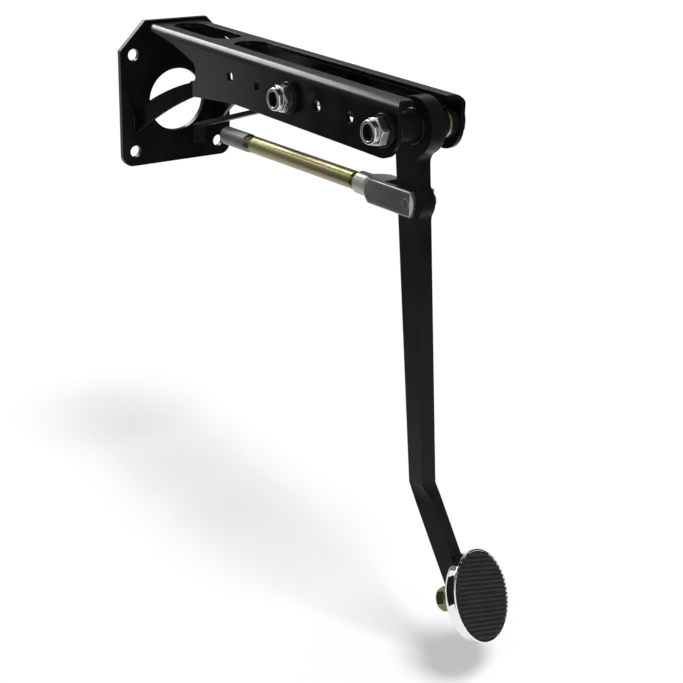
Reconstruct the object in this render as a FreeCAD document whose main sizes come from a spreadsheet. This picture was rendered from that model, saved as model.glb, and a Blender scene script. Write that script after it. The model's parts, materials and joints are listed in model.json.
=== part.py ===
import FreeCAD, Part
import math
import os
import Sketcher

# Hanging brake pedal assembly: a firewall plate, a folded channel, a swinging arm with a round pad,
# and a push rod with a clevis. Millimetres. The origin is on the firewall face of the plate, at the
# middle of its four bolt holes. +Y points through the firewall, +Z is up, X is across.

# An edge counts as lying on a line when its middle point is nearer to it than this.
NEAR = 0.05

Vector = FreeCAD.Vector
doc = FreeCAD.newDocument("brake_pedal_assembly")
sheet = doc.addObject("Spreadsheet::Sheet", "Sizes")

SIZES = [
    # Mounting plate
    ("plate_width", 111.1),
    ("plate_top", 71.4),
    ("plate_bottom", 56.0),
    ("plate_thickness", 4.8),
    ("plate_chamfer", 24.5),
    ("plate_corner", 10.0),
    ("bolt_spacing", 85.7),
    ("bolt_hole", 10.5),
    ("centre_hole", 55.6),
    # Folded channel, lengths counted from the firewall face
    ("channel_width", 60.3),
    ("channel_top", 69.0),
    ("wall_low", 27.0),
    ("sheet_thickness", 3.4),
    ("bend_radius", 7.0),
    ("channel_length", 356.5),
    ("end_low_radius", 18.0),
    ("end_top_radius", 7.0),
    ("window_reach", 88.0),
    ("window_top", 50.0),
    ("window_low", 33.0),
    ("window_rise", 64.0),
    ("window_corner", 7.0),
    ("window_low_corner", 5.0),
    ("window_arc", 250.0),
    ("wall_taper_start", 144.0),
    ("splay_start", 83.4),
    ("splay_angle", 10.0),
    ("foot_top", 10.0),
    ("foot_low", 30.0),
    ("leg_root_low", 20.5),
    ("foot_top_arc", 285.0),
    ("foot_low_arc", 400.0),
    ("top_slot_width", 30.0),
    ("oval_start", 16.0),
    ("web_start", 99.0),
    ("web_width", 14.0),
    ("side_hole", 8.2),
    ("side_hole_pitch", 40.0),
    ("side_gap_front", 46.0),
    ("side_gap_rear", 34.0),
    # Pivot and brace fasteners
    ("pivot_reach", 344.0),
    ("pivot_height", 48.0),
    ("brace_reach", 228.0),
    ("bolt_dia", 12.7),
    ("bolt_clearance", 0.15),
    ("hex_flats", 19.0),
    ("nut_height", 7.6),
    ("collar_dia", 17.0),
    ("collar_height", 4.6),
    ("collar_bore", 11.5),
    ("pivot_nut_turn", 40.0),
    ("brace_nut_turn", 30.0),
    ("head_height", 4.0),
    ("washer_dia", 24.0),
    ("washer_thickness", 4.2),
    ("sleeve_dia", 16.0),
    ("bushing_wall", 1.4),
    ("flange_thickness", 2.0),
    ("hub_dia", 23.0),
    ("spacer_length", 6.2),
    ("running_clearance", 0.05),
    ("side_clearance", 0.35),
    # Brace strap
    ("strap_thickness", 3.4),
    ("strap_width", 12.0),
    ("strap_foot_top", 24.0),
    ("strap_foot_length", 17.0),
    # Pedal arm
    ("arm_thickness", 12.7),
    ("head_radius", 21.0),
    ("arm_front_offset", 3.2),
    ("boss_radius", 12.4),
    ("boss_blend", 9.0),
    ("bend_reach", 370.5),
    ("bend_drop", 222.0),
    ("bend_depth", 16.2),
    ("bend_mitre", 11.5),
    ("leg_depth", 15.0),
    ("leg_lean", 26.0),
    ("leg_yaw", 19.5),
    ("bend_length", 15.0),
    ("leg_past_pad", 11.5),
    # Clevis and push rod
    ("pin_reach", 346.0),
    ("pin_drop", 7.4),
    ("pin_dia", 8.0),
    ("rod_droop", 1.6),
    ("clevis_width", 22.6),
    ("clevis_height", 19.0),
    ("clevis_gap", 13.3),
    ("clevis_tip", 6.6),
    ("clevis_slot_depth", 31.0),
    ("clevis_body_end", 47.0),
    ("clevis_shoulder", 6.0),
    ("clevis_neck_end", 67.0),
    ("clevis_neck_dia", 17.6),
    ("ear_arc", 22.0),
    ("socket_depth", 24.0),
    ("rod_dia", 14.2),
    ("rod_length", 220.0),
    ("stud_dia", 10.0),
    ("stud_length", 25.0),
    ("tip_dia", 15.4),
    ("tip_length", 38.0),
    ("tip_bevel", 1.5),
    ("clip_thickness", 1.2),
    ("clip_dia", 12.5),
    ("clip_gap", 4.8),
    ("clip_depth", 1.0),
    ("clip_margin", 1.6),
    # Pad
    ("pad_along", 96.5),
    ("pad_dia", 72.0),
    ("pad_depth", 10.6),
    ("cup_wall", 1.5),
    ("cup_corner", 4.0),
    ("cup_corner_in", 1.0),
    ("cup_corner_up", 1.6),
    ("lip_radius", 1.3),
    ("rubber_gap", 0.3),
    ("rubber_proud", 0.9),
    ("rib_height", 1.2),
    ("rib_root", 0.3),
    ("rib_pitch", 3.4),
    ("rib_width", 1.9),
    ("rib_count", 19),
    ("pad_roll", -22.6),
    ("pad_bolt_dia", 8.0),
    ("pad_hex_flats", 13.0),
    ("pad_head_flats", 17.0),
    ("pad_head_height", 9.0),
    ("pad_nut_height", 6.5),
    ("pad_washer_dia", 22.0),
    ("pad_washer_thickness", 3.5),
    ("pad_hole_clearance", 0.2),
]
for row, (name, number) in enumerate(SIZES, start=1):
    sheet.set("A%d" % row, name)
    sheet.set("B%d" % row, str(number))
    sheet.setAlias("B%d" % row, name)
doc.recompute()

nodes = []
reader = doc.addObject("App::FeaturePython", "Reader")
reader.addProperty("App::PropertyFloat", "Reading")


def cell(text):
    """Expression over the sheet: every size word gets the sheet's name in front of it."""
    words = [name for name, number in SIZES]
    out = ""
    word = ""
    for letter in text + " ":
        if letter.isalnum() or letter == "_":
            word += letter
            continue
        out += ("Sizes." + word) if word in words else word
        out += letter
        word = ""
    return out.strip()


def bind(item, prop, text):
    item.setExpression(prop, cell(text))


def value(text):
    """Number that an expression over the sheet gives, read from a property bound to it."""
    bind(reader, "Reading", text)
    reader.recompute()
    return reader.Reading


def make_body(label):
    body = doc.addObject("PartDesign::Body", label)
    body.Label = label
    nodes.append(body)
    return body


def plane(body, role):
    return [item for item in body.Origin.OriginFeatures if item.Role == role][0]


def new_sketch(body, name, role, offset=None):
    """Sketch on one of the body's own planes, moved by a placement expression."""
    sketch = body.newObject("Sketcher::SketchObject", name)
    sketch.AttachmentSupport = [(plane(body, role), "")]
    sketch.MapMode = "FlatFace"
    if offset:
        bind(sketch, "AttachmentOffset", offset)
    return sketch


def fix_point(sketch, geometry, end, x, y):
    """Ties a point of a sketch to two expressions, counted from the sketch's origin."""
    for kind, text, axis in (("DistanceX", x, -2), ("DistanceY", y, -1)):
        number = value(text)
        if text == "0":
            sketch.addConstraint(Sketcher.Constraint("PointOnObject", geometry, end, axis))
            continue
        index = sketch.addConstraint(Sketcher.Constraint(kind, -1, 1, geometry, end, number))
        bind(sketch, "Constraints[%d]" % index, text)


def short_arc(start, finish, radius):
    """Arc that runs anticlockwise from start to finish the short way."""
    chord = finish - start
    middle = (start + finish) * 0.5
    outward = Vector(chord.y, -chord.x, 0).normalize()
    sagitta = radius - math.sqrt(radius ** 2 - (chord.Length / 2) ** 2)
    return Part.Arc(start, middle + outward * sagitta, finish)


def outline(sketch, points):
    """Closed outline. A point is (x, y), or (x, y, radius, left) where an arc runs to the next point,
    bulging to the left or to the right of the way."""
    places = [Vector(value(p[0]), value(p[1]), 0) for p in points]
    count = len(points)
    ids = []
    ends = []
    for i, point in enumerate(points):
        start, finish = places[i], places[(i + 1) % count]
        if len(point) == 2:
            ids.append(sketch.addGeometry(Part.LineSegment(start, finish)))
            ends.append((1, 2))
            continue
        if point[3]:
            start, finish = finish, start
        ids.append(sketch.addGeometry(short_arc(start, finish, value(point[2]))))
        ends.append((2, 1) if point[3] else (1, 2))
    for i in range(count):
        j = (i + 1) % count
        sketch.addConstraint(Sketcher.Constraint("Coincident", ids[i], ends[i][1], ids[j], ends[j][0]))
    for i, point in enumerate(points):
        fix_point(sketch, ids[i], ends[i][0], point[0], point[1])
        if len(point) > 2:
            number = value(point[2])
            index = sketch.addConstraint(Sketcher.Constraint("Radius", ids[i], number))
            bind(sketch, "Constraints[%d]" % index, point[2])


def circle(sketch, x, y, diameter):
    centre = Vector(value(x), value(y), 0)
    radius = value(diameter) / 2
    geometry = sketch.addGeometry(Part.Circle(centre, Vector(0, 0, 1), radius))
    fix_point(sketch, geometry, 3, x, y)
    index = sketch.addConstraint(Sketcher.Constraint("Diameter", geometry, 2 * radius))
    bind(sketch, "Constraints[%d]" % index, diameter)


def hexagon(sketch, flats):
    """Hexagon about the sketch's origin with two corners on the first axis."""
    corner = "(%s) / sqrt(3)" % flats
    half = "(%s) / 2" % flats
    outline(sketch, [
        (corner, "0"), ("%s / 2" % corner, half), ("-%s / 2" % corner, half),
        ("-%s" % corner, "0"), ("-%s / 2" % corner, "-%s" % half), ("%s / 2" % corner, "-%s" % half),
    ])


def feature(body, kind, name, sketch, length, symmetric=False, back=False):
    """Pad or pocket of a sketch; a pocket has to take something away."""
    before = body.Shape.Volume if kind == "Pocket" else 0
    item = body.newObject("PartDesign::" + kind, name)
    item.Profile = sketch
    bind(item, "Length", length)
    item.SideType = "Symmetric" if symmetric else "One side"
    item.Reversed = back
    doc.recompute()
    if kind == "Pocket" and item.Shape.Volume > before - 1e-3:
        raise RuntimeError(name + " cuts nothing")
    return item


def revolve(body, name, sketch):
    """Turns a sketch drawn on the XZ plane about the body's Z axis."""
    item = body.newObject("PartDesign::Revolution", name)
    item.Profile = sketch
    item.ReferenceAxis = (sketch, ["V_Axis"])
    item.Angle = 360
    doc.recompute()
    return item


def fillet(body, name, base, radius, chosen):
    """Rounds the edges whose middle point the test picks."""
    names = []
    for i, edge in enumerate(base.Shape.Edges, start=1):
        if chosen(edge):
            names.append("Edge%d" % i)
    item = body.newObject("PartDesign::Fillet", name)
    item.Base = (base, names)
    bind(item, "Radius", radius)
    doc.recompute()
    return item


def along_x(edge):
    box = edge.BoundBox
    return box.XLength > 1 and box.YLength < 1e-4 and box.ZLength < 1e-4


def place(item, text):
    bind(item, "Placement", text)


def turned(label, points, where):
    """Piece turned about its own axis from a half section of (radius, height) points."""
    body = make_body(label)
    sketch = new_sketch(body, label + "_section", "XZ_Plane")
    outline(sketch, points)
    revolve(body, label + "_turned", sketch)
    place(body, where)
    return body


def ring(label, outer, inner, length, where):
    """Plain tube or washer, from its own origin along its own axis."""
    return turned(label, [
        ("(%s) / 2" % inner, "0"), ("(%s) / 2" % outer, "0"),
        ("(%s) / 2" % outer, length), ("(%s) / 2" % inner, length),
    ], where)


# Places. An axis across the object has its own Z turned to +X, or to -X for what the near wall carries.
WALL_OUT = "channel_width / 2"
WALL_IN = "(channel_width / 2 - sheet_thickness)"


def across(x, reach, height, turn="90"):
    return "placement(vector(%s; -(%s); %s); rotationy(%s))" % (x, reach, height, turn)


LEG = ("placement(vector(0; -bend_reach; -bend_drop);"
       " rotationz(leg_yaw) * rotationx(180 - leg_lean))")
PAD = LEG + " * placement(vector(0; leg_depth / 2; pad_along); rotationx(-90))"
PAD_BACK = LEG + " * placement(vector(0; -leg_depth / 2; pad_along); rotationx(90))"
ROD = "placement(vector(0; -pin_reach; -pin_drop); rotationx(-90 - rod_droop))"


def mounting_plate():
    body = make_body("mounting_plate")
    sketch = new_sketch(body, "plate_outline", "XZ_Plane")
    outline(sketch, [
        ("-plate_width / 2", "-plate_bottom"), ("plate_width / 2", "-plate_bottom"),
        ("plate_width / 2", "plate_top - plate_chamfer"), ("plate_width / 2 - plate_chamfer", "plate_top"),
        ("-plate_width / 2 + plate_chamfer", "plate_top"), ("-plate_width / 2", "plate_top - plate_chamfer"),
    ])
    circle(sketch, "0", "0", "centre_hole")
    for x in ("-bolt_spacing / 2", "bolt_spacing / 2"):
        for z in ("-bolt_spacing / 2", "bolt_spacing / 2"):
            circle(sketch, x, z, "bolt_hole")
    pad = feature(body, "Pad", "plate_sheet", sketch, "plate_thickness")
    corner_x = value("plate_width / 2")
    corner_z = -value("plate_bottom")

    def chosen(edge):
        middle = edge.BoundBox.Center
        return abs(abs(middle.x) - corner_x) < NEAR and abs(middle.z - corner_z) < NEAR

    fillet(body, "plate_corners", pad, "plate_corner", chosen)


def channel():
    """One folded sheet: an inverted U whose side walls end in two legs splayed out to the plate."""
    body = make_body("channel")
    section = new_sketch(body, "channel_section", "XZ_Plane",
                         "placement(vector(0; 0; plate_thickness); rotationx(0))")
    outline(section, [
        ("-" + WALL_OUT, "leg_root_low"), ("-" + WALL_OUT, "channel_top"),
        (WALL_OUT, "channel_top"), (WALL_OUT, "leg_root_low"),
        (WALL_IN, "leg_root_low"), (WALL_IN, "channel_top - sheet_thickness"),
        ("-" + WALL_IN, "channel_top - sheet_thickness"), ("-" + WALL_IN, "leg_root_low"),
    ])
    sheet_pad = feature(body, "Pad", "channel_sheet", section, "channel_length - plate_thickness")

    def bend_edge(x, z):
        def chosen(edge):
            middle = edge.BoundBox.Center
            return edge.BoundBox.YLength > 1 and abs(abs(middle.x) - x) < NEAR and abs(middle.z - z) < NEAR
        return chosen

    top = value("channel_top")
    inner = value(WALL_IN)
    outer_bend = fillet(body, "outer_bends", sheet_pad, "bend_radius",
                        bend_edge(value(WALL_OUT), top))
    fillet(body, "inner_bends", outer_bend, "bend_radius - sheet_thickness",
           bend_edge(inner, top - value("sheet_thickness")))

    # Lower edge of the walls and the rounded free end, cut from the side through both walls.
    low = new_sketch(body, "lower_edge", "YZ_Plane")
    outline(low, [
        ("-splay_start", "leg_root_low"), ("-wall_taper_start", "wall_low"),
        ("-channel_length + end_low_radius", "wall_low", "end_low_radius", True),
        ("-channel_length", "wall_low + end_low_radius"), ("-channel_length - end_low_radius", "wall_low"),
        ("-channel_length", "leg_root_low - end_low_radius"),
        ("-splay_start", "leg_root_low - end_low_radius"),
    ])
    feature(body, "Pocket", "lower_edge_cut", low, "2 * channel_width", symmetric=True)
    end = new_sketch(body, "top_corner", "YZ_Plane")
    outline(end, [
        ("-channel_length", "channel_top - end_top_radius", "end_top_radius", True),
        ("-channel_length + end_top_radius", "channel_top"),
        ("-channel_length", "channel_top + end_top_radius"),
        ("-channel_length - end_top_radius", "channel_top"),
    ])
    feature(body, "Pocket", "top_corner_cut", end, "2 * channel_width", symmetric=True)

    # Window open to the plate, above the splayed leg.
    window = new_sketch(body, "wall_window", "YZ_Plane")
    outline(window, [
        ("0", "window_rise"), ("-plate_thickness", "window_rise", "window_arc", False),
        ("-window_reach + window_corner", "window_top", "window_corner", False),
        ("-window_reach", "window_top - window_corner"),
        ("-window_reach", "window_low + window_low_corner", "window_low_corner", False),
        ("-window_reach + window_low_corner", "window_low"), ("-splay_start + sheet_thickness", "window_low"),
        ("-splay_start + sheet_thickness", "leg_root_low - sheet_thickness"),
        ("0", "leg_root_low - sheet_thickness"),
    ])
    feature(body, "Pocket", "wall_window_cut", window, "2 * channel_width", symmetric=True)

    # Splayed leg on the near side, mirrored to the far side, and both trimmed flush with the plate.
    run = "(splay_start - plate_thickness) / cos(splay_angle) + sheet_thickness"
    leg = new_sketch(body, "splayed_leg", "YZ_Plane",
                     "placement(vector(-splay_start; 0; -channel_width / 2); rotationy(splay_angle))")
    root = "-sheet_thickness * tan(splay_angle)"
    outline(leg, [
        (root, "leg_root_low"), (root, "window_low", "foot_top_arc", True),
        (run, "-foot_top"), (run, "-foot_low", "foot_low_arc", False),
    ])
    leg_pad = feature(body, "Pad", "splayed_leg_sheet", leg, "sheet_thickness")
    mirror = body.newObject("PartDesign::Mirrored", "far_leg")
    mirror.Originals = [leg_pad]
    mirror.MirrorPlane = (plane(body, "YZ_Plane"), [""])
    body.Tip = mirror
    doc.recompute()
    trim = new_sketch(body, "plate_side", "XZ_Plane",
                      "placement(vector(0; 0; plate_thickness); rotationx(0))")
    outline(trim, [
        ("-plate_width", "-plate_bottom"), ("plate_width", "-plate_bottom"),
        ("plate_width", "plate_top"), ("-plate_width", "plate_top"),
    ])
    feature(body, "Pocket", "plate_side_cut", trim, "4 * plate_thickness")

    # Openings in the top: an oval by the plate, then a slot open at the pivot end.
    tops = new_sketch(body, "top_openings", "XY_Plane",
                      "placement(vector(0; 0; channel_top - 2 * sheet_thickness); rotationx(0))")
    half = "top_slot_width / 2"
    outline(tops, [
        ("-" + half, "-oval_start - top_slot_width / 2", half, True),
        ("0", "-oval_start", half, True), (half, "-oval_start - top_slot_width / 2"),
        (half, "-web_start + top_slot_width / 2", half, True), ("0", "-web_start", half, True),
        ("-" + half, "-web_start + top_slot_width / 2"),
    ])
    slot_top = "-web_start - web_width"
    outline(tops, [
        ("-" + half, slot_top + " - top_slot_width / 2", half, True),
        ("0", slot_top, half, True), (half, slot_top + " - top_slot_width / 2"),
        (half, "-channel_length - end_top_radius"), ("-" + half, "-channel_length - end_top_radius"),
    ])
    feature(body, "Pocket", "top_openings_cut", tops, "3 * sheet_thickness", back=True)

    # Holes through both walls: four plain ones, the brace bolt's and the pivot bolt's.
    holes = new_sketch(body, "wall_holes", "YZ_Plane")
    for away in ("-side_gap_front", "-side_gap_front - side_hole_pitch",
                 "side_gap_rear", "side_gap_rear + side_hole_pitch"):
        circle(holes, "-brace_reach - (%s)" % away, "pivot_height", "side_hole")
    for reach in ("brace_reach", "pivot_reach"):
        circle(holes, "-" + reach, "pivot_height", "bolt_dia + 2 * bolt_clearance")
    feature(body, "Pocket", "wall_holes_cut", holes, "2 * channel_width", symmetric=True)


def through_bolt(name):
    """Low hex bolt from the far wall, through a sleeve, to a washer and a lock nut on the near wall."""
    reach = name + "_reach"
    sleeve_length = "(channel_width - 2 * sheet_thickness)"
    grip = "(channel_width + washer_thickness)"
    ring(name + "_sleeve", "sleeve_dia", "bolt_dia + 2 * bolt_clearance", sleeve_length,
         across("-" + WALL_IN, reach, "pivot_height"))
    ring(name + "_washer", "washer_dia", "bolt_dia + 2 * bolt_clearance", "washer_thickness",
         across("-%s - washer_thickness" % WALL_OUT, reach, "pivot_height"))

    bolt = make_body(name + "_bolt")
    head = new_sketch(bolt, name + "_head", "XY_Plane")
    hexagon(head, "hex_flats")
    feature(bolt, "Pad", name + "_head_hex", head, "head_height")
    shank = new_sketch(bolt, name + "_shank", "XY_Plane")
    circle(shank, "0", "0", "bolt_dia")
    feature(bolt, "Pad", name + "_shank_round", shank, grip + " + nut_height", back=True)
    place(bolt, across(WALL_OUT, reach, "pivot_height"))

    nut = make_body(name + "_nut")
    hex_sketch = new_sketch(nut, name + "_nut_hex", "XY_Plane")
    hexagon(hex_sketch, "hex_flats")
    feature(nut, "Pad", name + "_nut_body", hex_sketch, "nut_height")
    collar = new_sketch(nut, name + "_nut_collar", "XY_Plane")
    circle(collar, "0", "0", "collar_dia")
    feature(nut, "Pad", name + "_nut_round", collar, "nut_height + collar_height")
    bore = new_sketch(nut, name + "_nut_bore", "XY_Plane")
    circle(bore, "0", "0", "bolt_dia + 2 * running_clearance")
    feature(nut, "Pocket", name + "_nut_thread", bore, "nut_height", back=True)
    mouth = new_sketch(nut, name + "_nut_mouth", "XY_Plane")
    circle(mouth, "0", "0", "collar_bore")
    feature(nut, "Pocket", name + "_nut_opening", mouth, "nut_height + 2 * collar_height", back=True)
    seat = across("-%s - washer_thickness" % WALL_OUT, reach, "pivot_height", "-90")
    place(nut, seat + " * placement(vector(0; 0; 0); rotationz(%s_nut_turn))" % name)


def brace_strap():
    """Flat strap rolled round the brace bolt's sleeve and turned down flat on the plate."""
    body = make_body("brace_strap")
    eye_in = "(sleeve_dia / 2 + running_clearance)"
    eye_out = "(sleeve_dia / 2 + running_clearance + strap_thickness)"
    offset = "placement(vector(0; 0; %s - side_clearance - strap_width); rotationx(0))" % WALL_IN
    eye = new_sketch(body, "strap_eye", "YZ_Plane", offset)
    circle(eye, "-brace_reach", "pivot_height", "2 * " + eye_out)
    feature(body, "Pad", "strap_eye_roll", eye, "strap_width")
    run = new_sketch(body, "strap_run", "YZ_Plane", offset)
    foot_y = "-plate_thickness - strap_thickness"
    outline(run, [
        ("-brace_reach", "pivot_height + strap_thickness / 2"),
        ("-brace_reach", "pivot_height - strap_thickness / 2"),
        (foot_y, "-strap_foot_top - strap_thickness"),
        (foot_y, "-strap_foot_top - strap_foot_length"),
        ("-plate_thickness", "-strap_foot_top - strap_foot_length"), ("-plate_thickness", "-strap_foot_top"),
    ])
    feature(body, "Pad", "strap_flat", run, "strap_width")
    hole = new_sketch(body, "strap_hole", "YZ_Plane")
    circle(hole, "-brace_reach", "pivot_height", "2 * " + eye_in)
    feature(body, "Pocket", "strap_eye_hole", hole, "2 * channel_width", symmetric=True)


def pivot_bearing():
    """Hub tube welded into the arm's head, a flanged bushing pressed into each end, and the spacer that
    keeps the hub off the far wall."""
    near = "(%s - side_clearance - flange_thickness)" % WALL_IN
    far = "(%s - spacer_length - side_clearance - flange_thickness)" % WALL_IN
    bushing_in = "(sleeve_dia + 2 * running_clearance)"
    bushing_out = "(sleeve_dia + 2 * running_clearance + 2 * bushing_wall)"
    ring("pivot_hub", "hub_dia", bushing_out, near + " + " + far,
         across("-" + near, "pivot_reach", "pivot_height"))
    ring("pivot_spacer", "hub_dia", bushing_in, "spacer_length",
         across(WALL_IN + " - spacer_length", "pivot_reach", "pivot_height"))
    for side, end, sign, turn in (("near", near, "-", "90"), ("far", far, "", "-90")):
        turned(side + "_bushing", [
            (bushing_in + " / 2", "-flange_thickness"), ("hub_dia / 2", "-flange_thickness"),
            ("hub_dia / 2", "0"), (bushing_out + " / 2", "0"),
            (bushing_out + " / 2", end + " - arm_thickness / 2"),
            (bushing_in + " / 2", end + " - arm_thickness / 2"),
        ], across(sign + end, "pivot_reach", "pivot_height", turn))


def pedal_arm():
    """Plate arm with a round head and a boss at the clevis pin, bent and turned at its lower leg."""
    body = make_body("pedal_arm")
    blade = new_sketch(body, "arm_blade", "YZ_Plane")
    half = "bend_depth / 2"
    outline(blade, [
        ("-pivot_reach + head_radius", "pivot_height"), ("-pivot_reach - arm_front_offset", "pivot_height"),
        ("-bend_reach - %s * cos(bend_mitre)" % half, "-bend_drop + %s * sin(bend_mitre)" % half),
        ("-bend_reach + %s * cos(bend_mitre)" % half, "-bend_drop - %s * sin(bend_mitre)" % half),
    ])
    feature(body, "Pad", "arm_blade_plate", blade, "arm_thickness", symmetric=True)
    head = new_sketch(body, "arm_head", "YZ_Plane")
    circle(head, "-pivot_reach", "pivot_height", "2 * head_radius")
    feature(body, "Pad", "arm_head_round", head, "arm_thickness", symmetric=True)
    boss = new_sketch(body, "arm_boss", "YZ_Plane")
    circle(boss, "-pin_reach", "-pin_drop", "2 * boss_radius")
    boss_pad = feature(body, "Pad", "arm_boss_round", boss, "arm_thickness", symmetric=True)

    # Blends where the head and the boss run into the front edge.
    front_top = value("-pivot_reach - arm_front_offset")
    front_low = value("-bend_reach - bend_depth / 2 * cos(bend_mitre)")
    low_z = value("-bend_drop + bend_depth / 2 * sin(bend_mitre)")
    top_z = value("pivot_height")

    def on_front(edge):
        middle = edge.BoundBox.Center
        share = (top_z - middle.z) / (top_z - low_z)
        inside = low_z + 1 < middle.z < top_z - 1
        return along_x(edge) and inside and abs(middle.y - front_top - share * (front_low - front_top)) < NEAR

    fillet(body, "arm_blends", boss_pad, "boss_blend", on_front)

    # Lower leg, lofted from the blade's end through the bend.
    start = new_sketch(body, "leg_start", "XY_Plane",
                       "placement(vector(0; -bend_reach; -bend_drop); rotationx(180 - bend_mitre))")
    bend = new_sketch(body, "leg_bend", "XY_Plane",
                      LEG + " * placement(vector(0; 0; bend_length); rotationx(0))")
    tip = new_sketch(body, "leg_tip", "XY_Plane",
                     LEG + " * placement(vector(0; 0; pad_along + leg_past_pad); rotationx(0))")
    for sketch, depth in ((start, "bend_depth"), (bend, "leg_depth"), (tip, "leg_depth")):
        outline(sketch, [
            ("-arm_thickness / 2", "-%s / 2" % depth), ("arm_thickness / 2", "-%s / 2" % depth),
            ("arm_thickness / 2", "%s / 2" % depth), ("-arm_thickness / 2", "%s / 2" % depth),
        ])
    leg = body.newObject("PartDesign::AdditiveLoft", "arm_leg")
    leg.Profile = start
    leg.Sections = [bend, tip]
    leg.Ruled = True
    doc.recompute()

    for name, reach, height, size in (
            ("hub_hole", "pivot_reach", "pivot_height", "hub_dia"),
            ("pin_hole", "pin_reach", "-pin_drop", "pin_dia + 2 * running_clearance")):
        sketch = new_sketch(body, name, "YZ_Plane")
        circle(sketch, "-" + reach, height, size)
        feature(body, "Pocket", name + "_cut", sketch, "2 * arm_thickness", symmetric=True)
    stud = new_sketch(body, "pad_bolt_hole", "XY_Plane", PAD)
    circle(stud, "0", "0", "pad_bolt_dia + 2 * pad_hole_clearance")
    feature(body, "Pocket", "pad_bolt_hole_cut", stud, "3 * leg_depth", symmetric=True)


def clevis():
    """Square fork with a turned neck, in the push rod's own frame: Z runs along the rod from the pin."""
    body = make_body("clevis")
    fork = new_sketch(body, "fork", "XZ_Plane")
    wide, gap, neck = "clevis_width / 2", "clevis_gap / 2", "clevis_neck_dia / 2"
    outline(fork, [
        ("-" + wide, "-clevis_tip"), ("-" + gap, "-clevis_tip"), ("-" + gap, "clevis_slot_depth"),
        (gap, "clevis_slot_depth"), (gap, "-clevis_tip"), (wide, "-clevis_tip"),
        (wide, "clevis_body_end"), (neck, "clevis_body_end + clevis_shoulder"),
        ("-" + neck, "clevis_body_end + clevis_shoulder"), ("-" + wide, "clevis_body_end"),
    ])
    feature(body, "Pad", "fork_block", fork, "clevis_height", symmetric=True)
    ears = new_sketch(body, "ear_ends", "YZ_Plane")
    half = "clevis_height / 2"
    shoulder = "-clevis_tip + ear_arc - sqrt(pow(ear_arc; 2) - pow(clevis_height / 2; 2))"
    outline(ears, [
        ("-" + half, shoulder, "ear_arc", False), (half, shoulder),
        (half, "-2 * clevis_tip"), ("-" + half, "-2 * clevis_tip"),
    ])
    feature(body, "Pocket", "ear_ends_cut", ears, "2 * clevis_width", symmetric=True)
    neck_sketch = new_sketch(body, "neck", "XY_Plane",
                             "placement(vector(0; 0; clevis_body_end); rotationx(0))")
    circle(neck_sketch, "0", "0", "clevis_neck_dia")
    feature(body, "Pad", "neck_round", neck_sketch, "clevis_neck_end - clevis_body_end")
    pin = new_sketch(body, "pin_bore", "YZ_Plane")
    circle(pin, "0", "0", "pin_dia")
    feature(body, "Pocket", "pin_bore_cut", pin, "2 * clevis_width", symmetric=True)
    socket = new_sketch(body, "rod_socket", "XY_Plane",
                        "placement(vector(0; 0; clevis_neck_end); rotationx(0))")
    circle(socket, "0", "0", "rod_dia")
    feature(body, "Pocket", "rod_socket_cut", socket, "socket_depth")
    place(body, ROD)


def push_rod():
    """Rod screwed into the clevis, with an adjusting end screwed on its stud."""
    low = "clevis_neck_end - socket_depth"
    turned("push_rod", [
        ("0", low), ("rod_dia / 2", low), ("rod_dia / 2", "rod_length"), ("stud_dia / 2", "rod_length"),
        ("stud_dia / 2", "rod_length + stud_length"), ("0", "rod_length + stud_length"),
    ], ROD)
    end = "rod_length + tip_length"
    turned("rod_end", [
        ("stud_dia / 2", "rod_length"), ("tip_dia / 2", "rod_length"), ("tip_dia / 2", end + " - tip_bevel"),
        ("tip_dia / 2 - tip_bevel", end), ("0", end), ("0", "rod_length + stud_length"),
        ("stud_dia / 2", "rod_length + stud_length"),
    ], ROD)


def clevis_pin():
    """Pin flush with the near ear, with a groove for its clip outside the far ear."""
    far = "(clevis_width / 2 + clip_thickness + clip_margin)"
    groove = "clevis_width / 2"
    root = "pin_dia / 2 - clip_depth"
    where = ROD + " * placement(vector(0; 0; 0); rotationy(90))"
    turned("clevis_pin", [
        ("0", "-clevis_width / 2"), ("pin_dia / 2", "-clevis_width / 2"), ("pin_dia / 2", groove),
        (root, groove), (root, groove + " + clip_thickness"), ("pin_dia / 2", groove + " + clip_thickness"),
        ("pin_dia / 2", far), ("0", far),
    ], where)
    body = make_body("clevis_clip")
    sketch = new_sketch(body, "clip_ring", "XY_Plane")
    circle(sketch, "0", "0", "clip_dia")
    feature(body, "Pad", "clip_disc", sketch, "clip_thickness")
    mouth = new_sketch(body, "clip_mouth", "XY_Plane")
    circle(mouth, "0", "0", "2 * (%s)" % root)
    feature(body, "Pocket", "clip_bore", mouth, "2 * clip_thickness", back=True)
    gap = new_sketch(body, "clip_gap", "XY_Plane")
    width = "clip_gap / 2"
    outline(gap, [
        ("-" + width, "0"), (width, "0"), (width, "clip_dia"), ("-" + width, "clip_dia"),
    ])
    feature(body, "Pocket", "clip_gap_cut", gap, "2 * clip_thickness", back=True)
    place(body, ROD + " * placement(vector(clevis_width / 2; 0; 0); rotationy(90))")


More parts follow.
